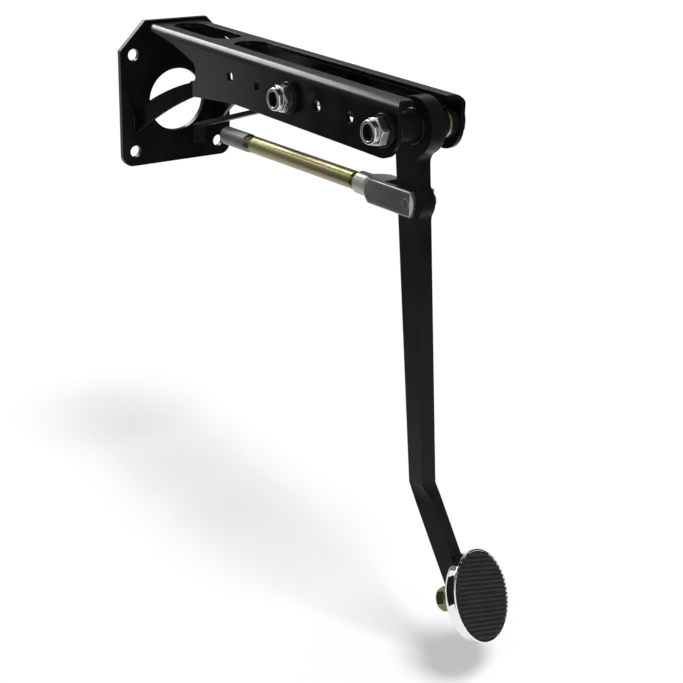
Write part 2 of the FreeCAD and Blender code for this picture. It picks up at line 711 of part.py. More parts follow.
def pad_pieces():
    """Chrome cup with a rolled lip, its ribbed rubber, and the bolt that holds it on the leg."""
    outer, wall = "pad_dia / 2", "cup_wall"
    hole = "pad_bolt_dia / 2 + pad_hole_clearance"
    turned("pad_cup", [
        (hole, "0"), (outer + " - cup_corner", "0"), (outer + " - cup_corner_in", "cup_corner_up"),
        (outer, "cup_corner"), (outer, "pad_depth - lip_radius"), (outer + " - lip_radius / 2", "pad_depth"),
        (outer + " - cup_wall", "pad_depth"), (outer + " - cup_wall", "cup_corner"),
        (outer + " - cup_corner", wall), (hole, wall),
    ], PAD)

    body = make_body("pad_rubber")
    section = new_sketch(body, "rubber_section", "XZ_Plane")
    edge = "pad_dia / 2 - cup_wall - rubber_gap"
    room = "pad_hex_flats / sqrt(3) + 2 * rubber_gap"
    outline(section, [
        (room, "cup_wall"), (outer + " - cup_corner - rubber_gap", "cup_wall"), (edge, "cup_corner"),
        (edge, "pad_depth - lip_radius - rubber_gap"),
        (edge + " - lip_radius / 2", "pad_depth + rubber_proud"), ("0", "pad_depth + rubber_proud"),
        ("0", "cup_wall + pad_nut_height + 2 * rubber_gap + lip_radius"),
        (room, "cup_wall + pad_nut_height + 2 * rubber_gap + lip_radius"),
    ])
    revolve(body, "rubber_disc", section)
    ribs = new_sketch(body, "ribs", "XY_Plane",
                      "placement(vector(0; 0; pad_depth + rubber_proud - rib_root); rotationz(pad_roll))")
    count = int(value("rib_count"))
    for i in range(count):
        middle = "(%d - (rib_count - 1) / 2) * rib_pitch" % i
        reach = "sqrt(pow(%s - lip_radius / 2; 2) - pow(abs(%s) + rib_width / 2; 2))" % (edge, middle)
        outline(ribs, [
            ("-" + reach, middle + " - rib_width / 2"), (reach, middle + " - rib_width / 2"),
            (reach, middle + " + rib_width / 2"), ("-" + reach, middle + " + rib_width / 2"),
        ])
    feature(body, "Pad", "rib_rows", ribs, "rib_height + rib_root")
    place(body, PAD)

    nut = make_body("pad_nut")
    flats = new_sketch(nut, "pad_nut_hex", "XY_Plane")
    hexagon(flats, "pad_hex_flats")
    circle(flats, "0", "0", "pad_bolt_dia + 2 * running_clearance")
    feature(nut, "Pad", "pad_nut_body", flats, "pad_nut_height")
    place(nut, PAD + " * placement(vector(0; 0; cup_wall); rotationz(0))")

    ring("pad_washer", "pad_washer_dia", "pad_bolt_dia + 2 * pad_hole_clearance", "pad_washer_thickness",
         PAD_BACK)
    bolt = make_body("pad_bolt")
    head = new_sketch(bolt, "pad_bolt_head", "XY_Plane")
    hexagon(head, "pad_head_flats")
    feature(bolt, "Pad", "pad_bolt_hex", head, "pad_head_height")
    shank = new_sketch(bolt, "pad_bolt_shank", "XY_Plane")
    circle(shank, "0", "0", "pad_bolt_dia")
    feature(bolt, "Pad", "pad_bolt_round", shank,
            "pad_washer_thickness + leg_depth + cup_wall + pad_nut_height", back=True)
    place(bolt, PAD_BACK + " * placement(vector(0; 0; pad_washer_thickness); rotationz(0))")


mounting_plate()
channel()
through_bolt("pivot")
through_bolt("brace")
brace_strap()
pivot_bearing()
pedal_arm()
clevis()
push_rod()
clevis_pin()
pad_pieces()
doc.recompute()

faults = [item.Label for item in doc.Objects if "Invalid" in item.State or "Error" in item.State]
faults += [item.Label for item in nodes if item.Shape.isNull() or not item.Shape.isValid()]
if faults:
    raise RuntimeError("failed: " + ", ".join(faults))

os.makedirs("parts", exist_ok=True)
for item in nodes:
    item.Shape.exportStep("parts/%s.step" % item.Label)
    print("%s %.1f" % (item.Label, item.Shape.Volume))
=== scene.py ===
import json
import math

import bmesh
import bpy
from mathutils import Matrix, Vector


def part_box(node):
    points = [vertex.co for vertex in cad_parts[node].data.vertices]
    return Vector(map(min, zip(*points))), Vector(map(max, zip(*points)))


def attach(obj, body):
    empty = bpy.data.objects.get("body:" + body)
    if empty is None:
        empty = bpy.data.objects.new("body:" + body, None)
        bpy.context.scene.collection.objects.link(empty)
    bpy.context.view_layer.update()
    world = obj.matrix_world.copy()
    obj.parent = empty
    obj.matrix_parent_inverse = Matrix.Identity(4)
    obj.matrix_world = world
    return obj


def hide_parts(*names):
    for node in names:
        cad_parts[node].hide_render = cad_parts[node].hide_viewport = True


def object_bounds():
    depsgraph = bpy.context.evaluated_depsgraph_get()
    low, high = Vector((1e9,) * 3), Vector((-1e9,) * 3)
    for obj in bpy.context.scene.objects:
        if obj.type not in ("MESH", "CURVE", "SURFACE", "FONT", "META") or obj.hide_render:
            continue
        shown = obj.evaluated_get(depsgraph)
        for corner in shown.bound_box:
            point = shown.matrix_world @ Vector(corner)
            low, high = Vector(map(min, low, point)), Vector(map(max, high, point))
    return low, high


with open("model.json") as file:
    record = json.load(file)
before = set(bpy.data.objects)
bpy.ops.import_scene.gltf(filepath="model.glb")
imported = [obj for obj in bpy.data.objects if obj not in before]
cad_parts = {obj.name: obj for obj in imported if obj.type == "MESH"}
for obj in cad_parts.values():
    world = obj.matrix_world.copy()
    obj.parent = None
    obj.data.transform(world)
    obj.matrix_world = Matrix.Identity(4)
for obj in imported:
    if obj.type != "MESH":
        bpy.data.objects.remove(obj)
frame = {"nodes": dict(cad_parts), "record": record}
cad_low, cad_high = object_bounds()
nodes = frame["nodes"]
record = frame["record"]
MM = 0.001


# Materials

# Depth of the fine relief, in metres, and how much finer it is than the drift of a metal's tint
RELIEF_DEPTH = 0.0002
FINE_GRAIN = 6
EDGE_SAMPLES = 6


def new_material(name):
    """Material with a Principled shader and nothing else."""
    material = bpy.data.materials.new(name)
    material.use_nodes = True
    tree = material.node_tree
    tree.nodes.clear()
    output = tree.nodes.new("ShaderNodeOutputMaterial")
    shader = tree.nodes.new("ShaderNodeBsdfPrincipled")
    tree.links.new(shader.outputs["BSDF"], output.inputs["Surface"])
    return material, tree, shader


def place_noise(tree, scale, detail=4.0, stretch=(1, 1, 1), rough=0.5):
    """Noise over the object's own coordinates, stretched along an axis if asked."""
    place = tree.nodes.new("ShaderNodeTexCoord")
    mapping = tree.nodes.new("ShaderNodeMapping")
    mapping.inputs["Scale"].default_value = stretch
    noise = tree.nodes.new("ShaderNodeTexNoise")
    noise.inputs["Scale"].default_value = scale
    noise.inputs["Detail"].default_value = detail
    noise.inputs["Roughness"].default_value = rough
    tree.links.new(place.outputs["Object"], mapping.inputs["Vector"])
    tree.links.new(mapping.outputs["Vector"], noise.inputs["Vector"])
    return noise.outputs["Fac"]


def ramp(tree, source, stops):
    """Colour that follows a value, from (place, colour) stops."""
    node = tree.nodes.new("ShaderNodeValToRGB")
    elements = node.color_ramp.elements
    while len(elements) < len(stops):
        elements.new(0.5)
    for element, (place, colour) in zip(elements, stops):
        element.position = place
        element.color = (*colour, 1.0)
    tree.links.new(source, node.inputs["Fac"])
    return node.outputs["Color"]


def span(tree, source, low, high):
    """Value that follows another between two limits."""
    node = tree.nodes.new("ShaderNodeMapRange")
    node.inputs["To Min"].default_value = low
    node.inputs["To Max"].default_value = high
    tree.links.new(source, node.inputs["Value"])
    return node.outputs["Result"]


def bump(tree, shader, source, strength, edge=0.0):
    """Fine relief, over edges rounded in the shading by the given radius."""
    node = tree.nodes.new("ShaderNodeBump")
    node.inputs["Strength"].default_value = strength
    node.inputs["Distance"].default_value = RELIEF_DEPTH
    tree.links.new(source, node.inputs["Height"])
    if edge:
        bevel = tree.nodes.new("ShaderNodeBevel")
        bevel.samples = EDGE_SAMPLES
        bevel.inputs["Radius"].default_value = edge
        tree.links.new(bevel.outputs["Normal"], node.inputs["Normal"])
    tree.links.new(node.outputs["Normal"], shader.inputs["Normal"])


def paint(name, colour, roughness, specular, edge):
    """Black stoving paint: slight orange peel, and a tone and gloss that drift a little."""
    material, tree, shader = new_material(name)
    cloud = place_noise(tree, scale=35.0, detail=5.0)
    dark = tuple(0.75 * c for c in colour)
    light = tuple(1.5 * c for c in colour)
    tree.links.new(ramp(tree, cloud, [(0.3, dark), (0.7, light)]), shader.inputs["Base Color"])
    tree.links.new(span(tree, cloud, roughness - 0.06, roughness + 0.08), shader.inputs["Roughness"])
    shader.inputs["Specular IOR Level"].default_value = specular
    bump(tree, shader, place_noise(tree, scale=900.0, detail=2.0), strength=0.12, edge=edge)
    return material


def metal(name, stops, roughness, spread, grain, stretch=(1, 1, 1), relief=0.1, edge=0.0003):
    """Plated metal whose tint and gloss drift over the surface."""
    material, tree, shader = new_material(name)
    cloud = place_noise(tree, grain, detail=6.0, stretch=stretch, rough=0.6)
    tree.links.new(ramp(tree, cloud, stops), shader.inputs["Base Color"])
    fine = place_noise(tree, grain * FINE_GRAIN, detail=4.0, stretch=stretch)
    tree.links.new(span(tree, fine, roughness - spread, roughness + spread), shader.inputs["Roughness"])
    shader.inputs["Metallic"].default_value = 1.0
    bump(tree, shader, fine, relief, edge)
    return material


def rubber_material():
    """Matt black rubber with a fine grain."""
    material, tree, shader = new_material("rubber")
    cloud = place_noise(tree, scale=120.0, detail=5.0)
    stops = [(0.25, (0.010, 0.010, 0.011)), (0.75, (0.024, 0.024, 0.025))]
    tree.links.new(ramp(tree, cloud, stops), shader.inputs["Base Color"])
    tree.links.new(span(tree, cloud, 0.6, 0.8), shader.inputs["Roughness"])
    shader.inputs["Specular IOR Level"].default_value = 0.3
    bump(tree, shader, place_noise(tree, scale=1500.0, detail=3.0), strength=0.25)
    return material


BLACK = paint("black_paint", (0.003, 0.003, 0.0032), roughness=0.22, specular=0.17, edge=0.0007)
ARM_BLACK = paint("arm_paint", (0.004, 0.0046, 0.0042), roughness=0.36, specular=0.13, edge=0.0008)
ZINC = metal(
    "zinc",
    [(0.25, (0.5, 0.51, 0.5)), (0.75, (0.68, 0.69, 0.68))],
    roughness=0.2, spread=0.06, grain=60.0,
)
SATIN_ZINC = metal(
    "satin_zinc",
    [(0.2, (0.25, 0.28, 0.26)), (0.5, (0.33, 0.36, 0.33)), (0.8, (0.42, 0.43, 0.39))],
    roughness=0.34, spread=0.08, grain=45.0, stretch=(1.0, 0.25, 1.0),
)
YELLOW_ZINC = metal(
    "yellow_zinc",
    [(0.3, (0.2, 0.215, 0.08)), (0.5, (0.25, 0.24, 0.11)), (0.72, (0.3, 0.23, 0.15))],
    roughness=0.33, spread=0.05, grain=28.0, relief=0.03,
)
# Darker, rougher copy of the satin zinc for the rod's adjusting end: its darker colour is painted shade,
# as the end lacks the highlight the rod shows
DULL_SHADED_ZINC = metal(
    "dull_shaded_zinc",
    [(0.2, (0.16, 0.18, 0.165)), (0.8, (0.26, 0.28, 0.255))],
    roughness=0.5, spread=0.06, grain=45.0,
)
# Near-black steel that paints shade: in the nuts' bores, on the bolts' ends inside them, and on the near
# bushing between the wall and the arm
PAINTED_SHADE_STEEL = metal(
    "painted_shade_steel",
    [(0.3, (0.03, 0.03, 0.03)), (0.7, (0.07, 0.07, 0.068))],
    roughness=0.5, spread=0.1, grain=60.0,
)
BRONZE = metal(
    "bronze",
    [(0.3, (0.46, 0.41, 0.22)), (0.7, (0.64, 0.57, 0.34))],
    roughness=0.35, spread=0.06, grain=70.0,
)
CHROME = metal(
    "chrome",
    [(0.3, (0.8, 0.81, 0.83)), (0.7, (0.88, 0.88, 0.89))],
    roughness=0.06, spread=0.02, grain=50.0, relief=0.01,
)
RUBBER = rubber_material()

SLOT_MATERIALS = {
    "black_paint": BLACK,
    "zinc": ZINC,
    "satin_zinc": SATIN_ZINC,
    "yellow_zinc": YELLOW_ZINC,
    "bronze": BRONZE,
    "chrome": CHROME,
    "rubber": RUBBER,
}
SLOT_OF = {row["node"]: row["material_slot"] for row in record["subparts"]}
BODY_OF = {node: body for body, members in record["behaviour"]["bodies"].items() for node in members}


def dress(item, material):
    """Gives a CAD node one material."""
    item.data.materials.clear()
    item.data.materials.append(material)


for node, slot_name in SLOT_OF.items():
    dress(nodes[node], SLOT_MATERIALS[slot_name])
for node in ("pedal_arm", "pivot_hub", "pivot_spacer", "brace_strap"):
    dress(nodes[node], ARM_BLACK)
# The near bushing is bronze; it is dressed near-black as painted shade, deep between the near wall and the
# arm
dress(nodes["near_bushing"], PAINTED_SHADE_STEEL)


# Sizes of the detailed pieces, in millimetres and degrees: close to the solids' sizes, with finer bevels

HEX_FLATS, HEX_INSET, HEX_BEVEL = 19.0, 0.4, 0.9
NUT_HEIGHT, NUT_TOP_INSET, NUT_TOP_BEVEL = 7.6, 0.5, 1.3
NUT_PLAY, NUT_BORE_INSET, NUT_BORE_BEVEL = 0.05, 0.5, 0.4
COLLAR_HEIGHT, COLLAR_DIA, COLLAR_BORE, COLLAR_ROUND, RIM_ROUND = 4.6, 17.4, 11.7, 1.4, 0.7
GROOVE_INSET, GROOVE_RISE, COLLAR_FOOT = 0.3, 0.25, 0.7
BORE_STEP_LOW, BORE_STEP_TOP = 0.2, 0.3
PIVOT_NUT_TURN, BRACE_NUT_TURN = 40, 30
BOLT_DIA, HEAD_HEIGHT, BOLT_LENGTH = 12.7, 4.0, 72.1
BOLT_THREAD, BOLT_POINT, BOLT_TAPER = 24, 1.2, 1.1
HEAD_RIM, FACE_HEIGHT, FACE_TOP, FACE_LOW = 0.6, 0.4, 0.2, 0.3
THREAD_PITCH, THREAD_DEPTH = 1.6, 0.45
WASHER_DIA, WASHER_THICKNESS, WASHER_ROUND, WASHER_CLEARANCE = 24.0, 4.2, 0.7, 0.15
ROD_DIA, ROD_FROM, ROD_TO = 14.2, 43.0, 220.0
ROD_THREAD_NEAR, ROD_THREAD_FAR = 5.0, 8.0
STUD_DIA, STUD_LENGTH = 10.0, 25.0
TIP_DIA, TIP_LENGTH, TIP_EDGE, TIP_ROUND = 15.4, 38.0, 0.6, 3.0
CLEVIS_WIDTH, CLEVIS_HEIGHT, CLEVIS_GAP = 22.6, 19.0, 13.3
CLEVIS_TIP, EAR_ARC, EAR_BEVEL, SLOT_DEPTH, SLOT_CORNER = 6.6, 22.0, 2.0, 31.0, 2
BODY_END, SHOULDER, NECK_END, NECK_DIA = 47.0, 6.0, 67.0, 17.6
SHOULDER_LEAD, NECK_FILLET, FILLET_RISE, NECK_ROUND = 4, 0.6, 0.4, 0.8
PIN_DIA, CLIP_THICKNESS, CLIP_MARGIN, CLIP_DEPTH = 8.0, 1.2, 1.6, 1.0
PIN_BEVEL_NEAR, PIN_BEVEL_FAR = 0.4, 0.6
LEG_LEAN, LEG_YAW, LEG_DEPTH = 26.0, 19.5, 15.0
PAD_DIA, PAD_DEPTH, CUP_WALL, CUP_CORNER, PAD_HOLE = 72.0, 10.6, 1.5, 4.0, 8.4
LIP_RADIUS, LIP_INSET = 1.1, 0.35
PAD_WASHER_DIA, PAD_WASHER, PAD_WASHER_ROUND = 22.0, 3.5, 0.6
PAD_FLATS, PAD_HEAD, PAD_BOLT_DIA, PAD_SHANK = 17.0, 9.0, 8.0, 26.5
PAD_THREAD, PAD_POINT, PAD_TAPER = 15.0, 1.0, 0.8
DISH_DEPTH, DISH_FLOOR, DISH_RIM = 0.8, 3.0, 2.4
RUBBER_GAP, RUBBER_SEAT, RUBBER_ROUND = 0.2, 0.05, 0.8
RIB_COUNT, RIB_PITCH, RIB_WIDTH, RIB_TOP, RIB_ROLL = 19, 3.4, 2.3, 12.0, -22.6
RIB_END, RIB_SINK, RIB_END_SIZE, RIB_FLATNESS = 33.4, 0.4, 0.35, 0.7
NUT_ROOM, NUT_ROOM_TOP = 8.2, 9.9
HUB_DIA, ARM_THICKNESS = 23.0, 12.7
HUB_BEAD, LEG_BEAD, LEG_BEAD_START = 1.5, 1.4, 2


# Mesh tools

SHARP_ANGLE = math.radians(32)


def axes(origin, along, side):
    """Frame whose Z runs along one direction and whose X is as near as can be to another."""
    z = Vector(along).normalized()
    y = z.cross(Vector(side)).normalized()
    x = y.cross(z)
    return Matrix.Translation(origin) @ Matrix((x, y, z)).transposed().to_4x4()


def turned(degrees, axis):
    """Turn about one of the axes."""
    return Matrix.Rotation(math.radians(degrees), 4, axis)


def raised(height):
    """Move along Z by millimetres."""
    return Matrix.Translation((0, 0, height * MM))


def arc(radius_middle, height_middle, radius, start, finish, steps=8):
    """Points of a profile along an arc, angles in degrees from outward towards up."""
    points = []
    for i in range(steps + 1):
        angle = math.radians(start + (finish - start) * i / steps)
        points.append((radius_middle + radius * math.cos(angle), height_middle + radius * math.sin(angle)))
    return points


def slope(start, finish, steps=6):
    """Points of a profile along a straight run, so that a limit can shape it."""
    points = []
    for i in range(steps + 1):
        share = i / steps
        radius = start[0] + (finish[0] - start[0]) * share
        height = start[1] + (finish[1] - start[1]) * share
        points.append((radius, height))
    return points


def thread(radius, start, finish):
    """Points of a profile down the flanks of a thread."""
    points = []
    turns = int(abs(finish - start) / THREAD_PITCH)
    step = (finish - start) / turns
    for i in range(turns):
        points.append((radius, start + i * step))
        points.append((radius - THREAD_DEPTH, start + (i + 0.5) * step))
    points.append((radius, finish))
    return points


def hexagon(flats):
    """Limit that turns a round profile into a hexagon."""
    def limit(angle):
        return flats / 2 / math.cos((angle % (math.pi / 3)) - math.pi / 6)
    return limit


def rounded_bar(width, height, power=16):
    """Limit that turns a round profile into a bar with slightly rounded corners."""
    def limit(angle):
        wide = abs(math.cos(angle)) * 2 / width
        high = abs(math.sin(angle)) * 2 / height
        return (wide ** power + high ** power) ** (-1 / power)
    return limit


def finished(bm, name):
    """Mesh made from a mesh being built, with its normals pointing outward."""
    bmesh.ops.recalc_face_normals(bm, faces=bm.faces)
    mesh = bpy.data.meshes.new(name)
    bm.to_mesh(mesh)
    bm.free()
    return mesh


def lathe(name, profile, turns=96, limit=None, closed=True):
    """Mesh turned about Z from (radius, height) points in millimetres, held within a limit by angle."""
    bm = bmesh.new()
    rings = []
    for radius, height in profile:
        if radius == 0:
            rings.append([bm.verts.new((0, 0, height * MM))] * turns)
            continue
        ring = []
        for i in range(turns):
            angle = 2 * math.pi * i / turns
            reach = min(radius, limit(angle)) if limit else radius
            x, y = reach * math.cos(angle), reach * math.sin(angle)
            ring.append(bm.verts.new((x * MM, y * MM, height * MM)))
        rings.append(ring)
    pairs = list(zip(rings, rings[1:]))
    if closed:
        pairs.append((rings[-1], rings[0]))
    for one, two in pairs:
        for i in range(turns):
            j = (i + 1) % turns
            corners = [one[i], one[j], two[j], two[i]]
            corners = [c for k, c in enumerate(corners) if c not in corners[:k]]
            if len(corners) > 2:
                bm.faces.new(corners)
    return finished(bm, name)


def prism(name, points, half):
    """Mesh of an outline in millimetres in its own XY plane, half as deep each way along Z."""
    bm = bmesh.new()
    low = [bm.verts.new((x * MM, y * MM, -half * MM)) for x, y in points]
    high = [bm.verts.new((x * MM, y * MM, half * MM)) for x, y in points]
    bm.faces.new(low)
    bm.faces.new(high)
    for i in range(len(points)):
        j = (i + 1) % len(points)
        bm.faces.new([low[i], low[j], high[j], high[i]])
    return finished(bm, name)


def loose(mesh, where):
    """Helper object that lives only while a mesh is carved."""
    item = bpy.data.objects.new("loose", mesh)
    bpy.context.collection.objects.link(item)
    item.matrix_world = where
    return item


def carve(mesh, cuts):
    """Mesh with other meshes, each given with its place, cut away from it."""
    item = loose(mesh, Matrix())
    helpers = [item]
    for other, where in cuts:
        modifier = item.modifiers.new("cut", "BOOLEAN")
        modifier.object = loose(other, where)
        modifier.operation = "DIFFERENCE"
        modifier.solver = "EXACT"
        helpers.append(modifier.object)
    bpy.context.view_layer.update()
    graph = bpy.context.evaluated_depsgraph_get()
    result = bpy.data.meshes.new_from_object(item.evaluated_get(graph))
    for helper in helpers:
        bpy.data.objects.remove(helper)
    return result


def put(name, mesh, where, node, material=None, replaced=True):
    """Puts a mesh in the scene as a piece that looks like a CAD node and moves with it."""
    mesh.transform(where)
    piece = bpy.data.objects.new(name, mesh)
    bpy.context.collection.objects.link(piece)
    mesh.materials.append(material or SLOT_MATERIALS[SLOT_OF[node]])
    for face in mesh.polygons:
        face.use_smooth = True
    mesh.set_sharp_from_angle(angle=SHARP_ANGLE)
    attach(piece, BODY_OF[node])
    if replaced:
        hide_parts(node)
    return piece


def middle(node):
    """Middle of a CAD node's box."""
    low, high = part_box(node)
    return (low + high) / 2


# Frames of the turned pieces, read from the solids and the record

JOINTS = {joint["name"]: joint for joint in record["behaviour"]["joints"]}
MOUNTS = {mount["name"]: mount for mount in record["mounts"]}
PIVOT = Vector(JOINTS["pedal_swing"]["pos_m"])
PIN = Vector(JOINTS["clevis_turn"]["pos_m"])
ROD = axes(PIN, MOUNTS["cylinder_rod"]["axis"], (1, 0, 0))
PAD_TURN = turned(LEG_YAW, "Z") @ turned(90 - LEG_LEAN, "X")
PAD_BACK = Matrix.Translation(middle("pad_washer")) @ PAD_TURN @ raised(PAD_WASHER / 2)
PAD = PAD_BACK @ raised(LEG_DEPTH)


# Fasteners of the bracket

def lock_nut(node, turn):
    """Hexagon nut with bevelled corners and a rounded collar that closes on the bolt's end, with painted
    shade in its bore.
    """
    seat = middle(node)
    seat.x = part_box(node)[1].x
    corner, flat, shank = HEX_FLATS / math.sqrt(3), HEX_FLATS / 2, BOLT_DIA / 2
    collar, bore = COLLAR_DIA / 2, COLLAR_BORE / 2
    top = NUT_HEIGHT + COLLAR_HEIGHT
    profile = [(shank + NUT_BORE_INSET, 0)] + slope((flat - HEX_INSET, 0), (corner, HEX_BEVEL))
    profile += slope((corner, NUT_HEIGHT - NUT_TOP_BEVEL), (flat - NUT_TOP_INSET, NUT_HEIGHT))
    profile += [(collar - GROOVE_INSET, NUT_HEIGHT + GROOVE_RISE), (collar, NUT_HEIGHT + COLLAR_FOOT)]
    profile += arc(collar - COLLAR_ROUND, top - COLLAR_ROUND, COLLAR_ROUND, 0, 90)
    profile += arc(bore + RIM_ROUND, top - RIM_ROUND, RIM_ROUND, 90, 180, 5)
    profile += [(bore, NUT_HEIGHT + BORE_STEP_TOP), (shank + NUT_PLAY, NUT_HEIGHT + BORE_STEP_LOW)]
    profile += [(shank + NUT_PLAY, NUT_BORE_BEVEL)]
    where = axes(seat, (-1, 0, 0), (0, 0, 1)) @ turned(turn, "Z")
    mesh = lathe(node, profile, turns=144, limit=hexagon(HEX_FLATS))
    piece = put(node + "_detail", mesh, where, node)
    # Faces inside the collar's bore take the near-black steel: painted shade deep in the bore
    piece.data.materials.append(PAINTED_SHADE_STEEL)
    shade_bore_reach = (bore + 0.2) * MM
    for face in piece.data.polygons:
        away = face.center - seat
        face.material_index = int(math.hypot(away.y, away.z) < shade_bore_reach)


def through_bolt(node):
    """Low hex head with a washer face, plain shank and threaded end, with painted shade on the nut's side.
    """
    seat = middle(node)
    seat.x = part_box(node)[1].x - HEAD_HEIGHT * MM
    corner, flat, radius = HEX_FLATS / math.sqrt(3), HEX_FLATS / 2, BOLT_DIA / 2
    end = -BOLT_LENGTH
    profile = [(0, HEAD_HEIGHT), (flat - HEAD_RIM, HEAD_HEIGHT)]
    profile += slope((flat - HEX_INSET, HEAD_HEIGHT), (corner, HEAD_HEIGHT - HEX_BEVEL))
    profile += [(corner, FACE_HEIGHT), (flat - FACE_TOP, FACE_HEIGHT), (flat - FACE_LOW, 0), (radius, 0)]
    profile += thread(radius, end + BOLT_THREAD, end + BOLT_POINT)
    profile += [(radius - BOLT_TAPER, end), (0, end)]
    mesh = lathe(node, profile, limit=hexagon(HEX_FLATS), closed=False)
    piece = put(node + "_detail", mesh, axes(seat, (1, 0, 0), (0, 0, 1)), node)
    piece.data.materials.append(PAINTED_SHADE_STEEL)
    # Faces on the nut's half take the near-black steel: painted shade on the end that sits deep in the nut
    for face in piece.data.polygons:
        face.material_index = int(face.center.x < seat.x - BOLT_LENGTH / 2 * MM)


def washer_profile(outer, inner, thickness, soft):
    """Profile of a ring with rounded outer rims."""
    profile = [(inner, 0)] + arc(outer - soft, soft, soft, -90, 0, 4)
    profile += arc(outer - soft, thickness - soft, soft, 0, 90, 4) + [(inner, thickness)]
    return profile


def seat_washer(node):
    """Thick washer with rounded rims, painted with the bracket."""
    seat = middle(node)
    seat.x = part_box(node)[0].x
    inner = BOLT_DIA / 2 + WASHER_CLEARANCE
    profile = washer_profile(WASHER_DIA / 2, inner, WASHER_THICKNESS, WASHER_ROUND)
    put(node + "_detail", lathe(node, profile), axes(seat, (1, 0, 0), (0, 0, 1)), node)


# Push rod and clevis

def push_rod():
    """Gold rod, threaded where it enters the clevis and its grey adjusting end."""
    radius, stud = ROD_DIA / 2, STUD_DIA / 2
    near, far, stud_end = NECK_END + ROD_THREAD_NEAR, ROD_TO - ROD_THREAD_FAR, ROD_TO + STUD_LENGTH
    profile = [(0, ROD_FROM)] + thread(radius, ROD_FROM, near) + [(radius, near + 1)]
    profile += slope((radius, near + 2), (radius, far - 1), 20) + thread(radius, far, ROD_TO)
    profile += [(stud, ROD_TO), (stud, stud_end), (0, stud_end)]
    put("push_rod_detail", lathe("push_rod", profile, turns=64, closed=False), ROD, "push_rod")

    outer, end = TIP_DIA / 2, ROD_TO + TIP_LENGTH
    profile = [(stud, ROD_TO)] + arc(outer - TIP_EDGE, ROD_TO + TIP_EDGE, TIP_EDGE, -90, 0, 4)
    profile += arc(outer - TIP_ROUND, end - TIP_ROUND, TIP_ROUND, 0, 75, 8)
    profile += [(0, end), (0, stud_end), (stud, stud_end)]
    # The adjusting end takes the darker copy of the satin zinc: painted shade
    put("rod_end_detail", lathe("rod_end", profile, turns=64), ROD, "rod_end", DULL_SHADED_ZINC)


def clevis():
    """Square bar turned down to a neck, slotted for the arm, with rounded and bevelled ears."""
    diagonal = math.hypot(CLEVIS_WIDTH, CLEVIS_HEIGHT) / 2
    neck, bore = NECK_DIA / 2, ROD_DIA / 2
    past, outside = 3 * CLEVIS_TIP, 4 * CLEVIS_TIP
    profile = [(0, -past), (diagonal, -past)]
    foot = BODY_END + SHOULDER
    profile += slope((diagonal, BODY_END - SHOULDER_LEAD), (neck + FILLET_RISE, foot - NECK_FILLET), 14)
    profile += arc(neck + NECK_FILLET, foot + FILLET_RISE, NECK_FILLET, 255, 180, 3)
    profile += arc(neck - NECK_ROUND, NECK_END - NECK_ROUND, NECK_ROUND, 0, 90, 4)
    profile += [(bore, NECK_END), (bore, ROD_FROM), (0, ROD_FROM)]
    shape = rounded_bar(CLEVIS_WIDTH, CLEVIS_HEIGHT)
    bar = lathe("clevis", profile, turns=120, limit=shape, closed=False)

    spare = 6
    half = math.degrees(math.asin(CLEVIS_HEIGHT / 2 / EAR_ARC)) + spare
    ends = arc(0, EAR_ARC - CLEVIS_TIP, EAR_ARC, 270 - half, 270 + half, 16)
    ends += [(CLEVIS_HEIGHT, -outside), (-CLEVIS_HEIGHT, -outside)]
    gap, bottom = CLEVIS_GAP / 2, SLOT_DEPTH - SLOT_CORNER
    slot = arc(gap - SLOT_CORNER, bottom, SLOT_CORNER, 0, 90, 4)
    slot += arc(SLOT_CORNER - gap, bottom, SLOT_CORNER, 90, 180, 4)
    slot += [(-gap, -outside), (gap, -outside)]
    hole = arc(0, 0, PIN_DIA / 2, 0, 350, 35)
    across = Matrix(((0, 0, 1, 0), (1, 0, 0, 0), (0, 1, 0, 0), (0, 0, 0, 1)))
    upright = turned(90, "X")
    cuts = [
        (prism("ends", ends, CLEVIS_WIDTH), across),
        (prism("slot", slot, CLEVIS_WIDTH), upright),
        (prism("hole", hole, CLEVIS_WIDTH), across),
    ]
    # Each bevel's cutter reaches a millimetre past the ear's faces
    wide, deep, reach = CLEVIS_WIDTH / 2 + 1, CLEVIS_TIP + 1, EAR_BEVEL + 2
    for side in (-1, 1):
        bevel = [(side * (wide - reach), -deep), (side * wide, -deep), (side * wide, reach - deep)]
        cuts.append((prism("bevel", bevel, CLEVIS_WIDTH), upright))
    put("clevis_detail", carve(bar, cuts), ROD, "clevis")


def clevis_pin():
    """Pin with bevelled ends and a groove for its clip."""
    radius, near, far = PIN_DIA / 2, -CLEVIS_WIDTH / 2, CLEVIS_WIDTH / 2
    groove, clip_end = radius - CLIP_DEPTH, far + CLIP_THICKNESS
    end = clip_end + CLIP_MARGIN
    profile = [(0, near), (radius - PIN_BEVEL_NEAR, near), (radius, near + PIN_BEVEL_NEAR)]
    profile += [(radius, far), (groove, far), (groove, clip_end), (radius, clip_end)]
    profile += [(radius, end - PIN_BEVEL_FAR), (radius - PIN_BEVEL_FAR, end), (0, end)]
    mesh = lathe("clevis_pin", profile, turns=48, closed=False)
    put("clevis_pin_detail", mesh, axes(PIN, (1, 0, 0), (0, 0, 1)), "clevis_pin")


# Pad

def pad_cup():
    """Pressed cup with a round back corner and a rolled lip."""
    outer, hole, inner = PAD_DIA / 2, PAD_HOLE / 2, PAD_DIA / 2 - CUP_WALL
    turn, lip = outer - CUP_CORNER, LIP_RADIUS
    profile = [(hole, 0)] + arc(turn - LIP_INSET, CUP_CORNER, CUP_CORNER, -90, 0, 10)
    profile += arc(outer - LIP_INSET - lip, PAD_DEPTH - lip, lip, -20, 200, 14)
    profile += arc(turn, CUP_CORNER, inner - turn, 0, -90, 8) + [(hole, CUP_WALL)]
    put("pad_cup_detail", lathe("pad_cup", profile, turns=160), PAD, "pad_cup")


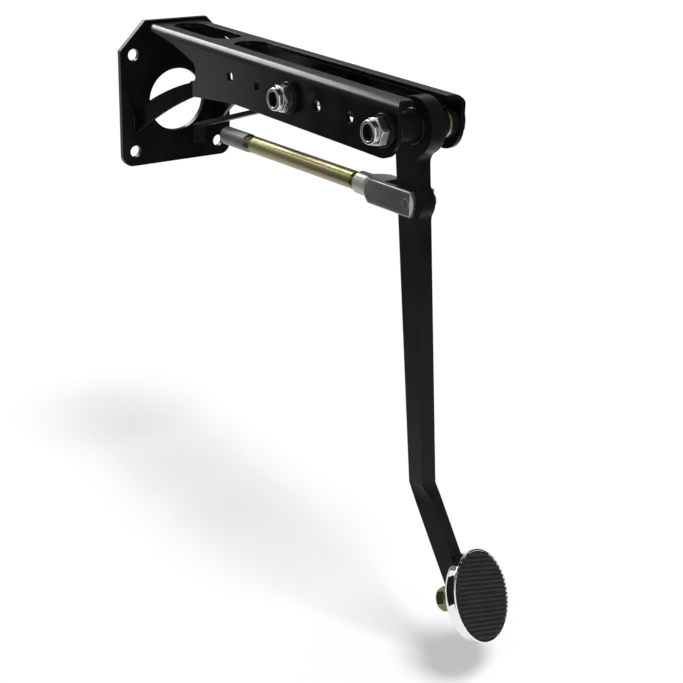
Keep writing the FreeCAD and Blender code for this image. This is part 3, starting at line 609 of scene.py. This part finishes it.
def rib(bm, offset, reach):
    """One rounded rib along X whose ends fall away, added to a mesh being built."""
    steps, around = 44, 8
    base = PAD_DEPTH - RIB_SINK
    rows = []
    for i in range(steps + 1):
        along = -math.cos(math.pi * i / steps) * reach
        left = max(0.0, min(1.0, (reach - abs(along)) / RIB_WIDTH))
        size = RIB_END_SIZE + (1 - RIB_END_SIZE) * math.sqrt(1 - (1 - left) ** 2)
        row = []
        for k in range(around + 1):
            angle = math.pi * k / around
            side = math.cos(angle) * RIB_WIDTH / 2 * size
            rise = (RIB_TOP - base) * size * math.sin(angle) ** RIB_FLATNESS
            row.append(bm.verts.new((along * MM, (offset + side) * MM, (base + rise) * MM)))
        rows.append(row)
    for one, two in zip(rows, rows[1:]):
        for k in range(around):
            bm.faces.new([one[k], one[k + 1], two[k + 1], two[k]])
        bm.faces.new([one[-1], one[0], two[0], two[-1]])
    bm.faces.new(rows[0])
    bm.faces.new(rows[-1])


def pad_rubber():
    """Moulded rubber: a disc in the cup, and ribs that end just inside the cup's lip."""
    edge = PAD_DIA / 2 - LIP_INSET - 2 * LIP_RADIUS - RUBBER_GAP
    face = PAD_DEPTH - RUBBER_GAP
    corner = CUP_CORNER - CUP_WALL
    seat = CUP_WALL + RUBBER_SEAT
    profile = [(NUT_ROOM, seat)] + arc(edge - corner, CUP_WALL + corner + RUBBER_SEAT, corner, -90, 0, 5)
    profile += arc(edge - RUBBER_ROUND, face - RUBBER_ROUND, RUBBER_ROUND, 0, 90, 5)
    profile += [(0, face), (0, NUT_ROOM_TOP), (NUT_ROOM, NUT_ROOM_TOP)]
    put("pad_rubber_disc", lathe("pad_rubber_disc", profile), PAD, "pad_rubber")

    bm = bmesh.new()
    for i in range(RIB_COUNT):
        offset = (i - (RIB_COUNT - 1) / 2) * RIB_PITCH
        rib(bm, offset, math.sqrt(RIB_END ** 2 - offset ** 2))
    mesh = finished(bm, "pad_ribs")
    put("pad_rubber_ribs", mesh, PAD @ turned(RIB_ROLL, "Z"), "pad_rubber", replaced=False)


def pad_fastener():
    """Hex bolt and washer behind the leg, that hold the pad."""
    profile = washer_profile(PAD_WASHER_DIA / 2, PAD_HOLE / 2, PAD_WASHER, PAD_WASHER_ROUND)
    behind = PAD_BACK @ turned(180, "X")
    put("pad_washer_detail", lathe("pad_washer", profile), behind, "pad_washer")

    corner, flat, radius = PAD_FLATS / math.sqrt(3), PAD_FLATS / 2, PAD_BOLT_DIA / 2
    dish, end = PAD_HEAD - DISH_DEPTH, -PAD_SHANK
    profile = [(0, dish), (flat - DISH_FLOOR, dish), (flat - DISH_RIM, PAD_HEAD)]
    profile += slope((flat - 0.5, PAD_HEAD), (corner, PAD_HEAD - 1.4))
    profile += slope((corner, 0.7), (flat - 0.2, 0.2), 4) + [(flat - 0.4, 0), (radius, 0)]
    profile += thread(radius, end + PAD_THREAD, end + PAD_POINT) + [(radius - PAD_TAPER, end), (0, end)]
    mesh = lathe("pad_bolt", profile, limit=hexagon(PAD_FLATS), closed=False)
    put("pad_bolt_detail", mesh, behind @ raised(PAD_WASHER), "pad_bolt")


# Welds

def bead(name, points, size, node, closed=False):
    """Weld bead along a run of points in metres, with ripples, painted like the node."""
    around = 8
    aside = (1, 0, 0.3)
    ripple, ripple_step = 0.18, 1.05
    end_size, end_steps = 0.35, 3
    bm = bmesh.new()
    rows = []
    count = len(points)
    for i, point in enumerate(points):
        before = points[(i - 1) % count] if closed or i else point
        after = points[(i + 1) % count] if closed or i < count - 1 else point
        turn = axes(point, after - before, aside)
        swell = size * MM * (1 - ripple + ripple * abs(math.sin(i * ripple_step)))
        if not closed:
            swell *= end_size + (1 - end_size) * min(1.0, min(i, count - 1 - i) / end_steps)
        ring = []
        for k in range(around):
            angle = 2 * math.pi * k / around
            ring.append(bm.verts.new(turn @ Vector((math.cos(angle) * swell, math.sin(angle) * swell, 0))))
        rows.append(ring)
    pairs = list(zip(rows, rows[1:]))
    if closed:
        pairs.append((rows[-1], rows[0]))
    else:
        bm.faces.new(rows[0])
        bm.faces.new(rows[-1])
    for one, two in pairs:
        for k in range(around):
            m = (k + 1) % around
            bm.faces.new([one[k], one[m], two[m], two[k]])
    put(name, finished(bm, name), Matrix(), node, replaced=False)


def welds():
    """Beads round the hub on both sides of the arm, and down the outer side of each leg at the plate."""
    steps, leg_steps = 90, 18
    reach, off = HUB_DIA / 2 + 0.3, ARM_THICKNESS / 2 + 0.2
    for side, name in ((-1, "hub_weld_near"), (1, "hub_weld_far")):
        ring = []
        for i in range(steps):
            angle = 2 * math.pi * i / steps
            spot = Vector((side * off, reach * math.cos(angle), reach * math.sin(angle)))
            ring.append(PIVOT + spot * MM)
        bead(name, ring, HUB_BEAD, "pivot_hub", closed=True)
    plate_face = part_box("mounting_plate")[0].y
    channel_low, channel_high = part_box("channel")
    inset = 0.995
    for side, name in ((channel_low.x, "leg_weld_near"), (channel_high.x, "leg_weld_far")):
        run = []
        for i in range(leg_steps):
            run.append(Vector((side * inset, plate_face, channel_low.z + (LEG_BEAD_START + i) * MM)))
        bead(name, run, LEG_BEAD, "channel")


lock_nut("pivot_nut", PIVOT_NUT_TURN)
lock_nut("brace_nut", BRACE_NUT_TURN)
for part in ("pivot_bolt", "brace_bolt"):
    through_bolt(part)
for part in ("pivot_washer", "brace_washer"):
    seat_washer(part)
push_rod()
clevis()
clevis_pin()
pad_cup()
pad_rubber()
pad_fastener()
welds()


# Stage: white floor below the pad, soft light, cards for the reflections, camera

FLOOR_GAP, FLOOR_REACH = 0.035, 20.0
FLOOR_Z = cad_low.z - FLOOR_GAP
DARK_TONE = 0.016
FILL_LEVEL = 0.64
SUN_ENERGY, SUN_ANGLE, SUN_DIRECTION = 1.68, math.radians(21), Vector((0.01, 0.4, -1))


def link(name, data, place=(0, 0, 0)):
    """Object with the given data, put in the scene."""
    item = bpy.data.objects.new(name, data)
    bpy.context.collection.objects.link(item)
    item.location = place
    return item


def matte(name, scale, detail, stops):
    """Dull material for the stage, whose tone drifts a little."""
    material, tree, shader = new_material(name)
    cloud = place_noise(tree, scale, detail)
    tree.links.new(ramp(tree, cloud, stops), shader.inputs["Base Color"])
    shader.inputs["Roughness"].default_value = 0.9
    shader.inputs["Specular IOR Level"].default_value = 0.0
    return material


def make_floor():
    """Wide pale floor."""
    mesh = bpy.data.meshes.new("floor")
    reach = FLOOR_REACH
    corners = [(-reach, -reach, 0), (reach, -reach, 0), (reach, reach, 0), (-reach, reach, 0)]
    mesh.from_pydata(corners, [], [(0, 1, 2, 3)])
    stops = [(0.2, (0.9, 0.9, 0.9)), (0.8, (0.915, 0.915, 0.915))]
    mesh.materials.append(matte("floor", 3.0, 3.0, stops))
    link("floor", mesh, (0, 0, FLOOR_Z))


def flag(name, corners, tone):
    """Dark or grey card out of view, that only reflections show."""
    mesh = bpy.data.meshes.new(name)
    mesh.from_pydata(corners, [], [(0, 1, 2, 3)])
    stops = [(0.2, [0.8 * tone] * 3), (0.8, [1.2 * tone] * 3)]
    mesh.materials.append(matte(name, 2.0, 2.0, stops))
    card = link(name, mesh)
    card.visible_camera = False
    card.visible_diffuse = False
    card.visible_shadow = False


def upright_card(name, start, finish, bottom, top, tone=DARK_TONE):
    """Upright flag between two places on the plan."""
    flag(name, [(*start, bottom), (*finish, bottom), (*finish, top), (*start, top)], tone)


def roof_card(name, height, start, finish):
    """Dark level flag over the object, between two opposite corners."""
    corners = [start, (finish[0], start[1]), finish, (start[0], finish[1])]
    flag(name, [(*corner, height) for corner in corners], DARK_TONE)


def make_world():
    """White to the eye and in reflections, a softer level for the light it sheds."""
    world = bpy.data.worlds.new("studio")
    bpy.context.scene.world = world
    world.use_nodes = True
    tree = world.node_tree
    tree.nodes.clear()
    output = tree.nodes.new("ShaderNodeOutputWorld")
    back = tree.nodes.new("ShaderNodeBackground")
    fill = tree.nodes.new("ShaderNodeBackground")
    mix = tree.nodes.new("ShaderNodeMixShader")
    path = tree.nodes.new("ShaderNodeLightPath")
    back.inputs["Strength"].default_value = 1.0
    back.inputs["Color"].default_value = (1, 1, 1, 1)
    fill.inputs["Strength"].default_value = FILL_LEVEL
    fill.inputs["Color"].default_value = (1, 1, 1, 1)
    seen = path.outputs["Is Camera Ray"]
    for name in ("Is Glossy Ray", "Is Transmission Ray"):
        either = tree.nodes.new("ShaderNodeMath")
        either.operation = "MAXIMUM"
        tree.links.new(seen, either.inputs[0])
        tree.links.new(path.outputs[name], either.inputs[1])
        seen = either.outputs[0]
    tree.links.new(seen, mix.inputs["Fac"])
    tree.links.new(fill.outputs["Background"], mix.inputs[1])
    tree.links.new(back.outputs["Background"], mix.inputs[2])
    tree.links.new(mix.outputs["Shader"], output.inputs["Surface"])


def aim(lamp, direction):
    """Turns a lamp to shine along a direction."""
    lamp.rotation_euler = direction.to_track_quat("-Z", "Y").to_euler()


def overhead_light():
    """Broad lamp high above on the driver's side: it draws the soft shadow on the floor."""
    data = bpy.data.lights.new("overhead", "SUN")
    data.energy = SUN_ENERGY
    data.angle = SUN_ANGLE
    lamp = link("overhead", data)
    aim(lamp, SUN_DIRECTION)
    lamp.visible_glossy = False


def softbox(name, place, target, size, power):
    """Lamp that shows only as a highlight."""
    data = bpy.data.lights.new(name, "AREA")
    data.shape = "RECTANGLE"
    data.size, data.size_y = size
    data.energy = power
    lamp = link(name, data, place)
    aim(lamp, Vector(target) - Vector(place))
    lamp.visible_diffuse = False


# Camera as fitted to the plate, the channel and the nuts in the photo

AZIMUTH, ELEVATION, ROLL = math.radians(-37.15), math.radians(22.52), math.radians(2.09)
CAMERA_PLACE = Vector((-0.5963, -1.0494, 0.2646))
FOCAL_PX, FRAME_PX, SENSOR_MM = 1338.3, 683.0, 36.0


def make_camera():
    """Camera at the photo's place and angle."""
    level = math.cos(ELEVATION)
    ahead = Vector((-math.sin(AZIMUTH) * level, math.cos(AZIMUTH) * level, -math.sin(ELEVATION)))
    right = Vector((math.cos(AZIMUTH), math.sin(AZIMUTH), 0))
    up = right.cross(ahead)
    rolled_right = right * math.cos(ROLL) + up * math.sin(ROLL)
    rolled_up = up * math.cos(ROLL) - right * math.sin(ROLL)
    data = bpy.data.cameras.new("camera")
    data.sensor_width = SENSOR_MM
    data.lens = SENSOR_MM * FOCAL_PX / FRAME_PX
    data.clip_end = 100
    camera = link("camera", data)
    turn = Matrix((rolled_right, rolled_up, -ahead)).transposed()
    camera.matrix_world = Matrix.Translation(CAMERA_PLACE) @ turn.to_4x4()
    bpy.context.scene.camera = camera


make_floor()
make_world()
overhead_light()
softbox("back_softbox", place=(-0.2, 1.28, 1.0), target=(0, -0.2, 0.05), size=(1.2, 0.5), power=23)
upright_card("left_flag", (-0.3, -0.45), (-0.3, 0.24), bottom=FLOOR_Z, top=-0.015)
upright_card("far_left_flag", (-1.4, -1.2), (-1.4, 2.2), bottom=FLOOR_Z, top=0.9, tone=0.3)
upright_card("right_flag", (0.05, -0.56), (0.2, -0.56), bottom=-0.13, top=0.35, tone=0.25)
upright_card("front_flag", (0.2, -0.56), (0.9, -0.56), bottom=FLOOR_Z, top=0.35)
upright_card("far_right_flag", (1.5, -1.6), (1.5, 0.3), bottom=FLOOR_Z, top=0.8)
upright_card("back_flag", (-0.5, 1.6), (2.6, 1.6), bottom=FLOOR_Z, top=0.95, tone=0.22)
roof_card("top_flag", height=1.3, start=(-1.4, -1.6), finish=(1.4, 0.6))
make_camera()
bpy.context.scene.view_settings.view_transform = "Standard"
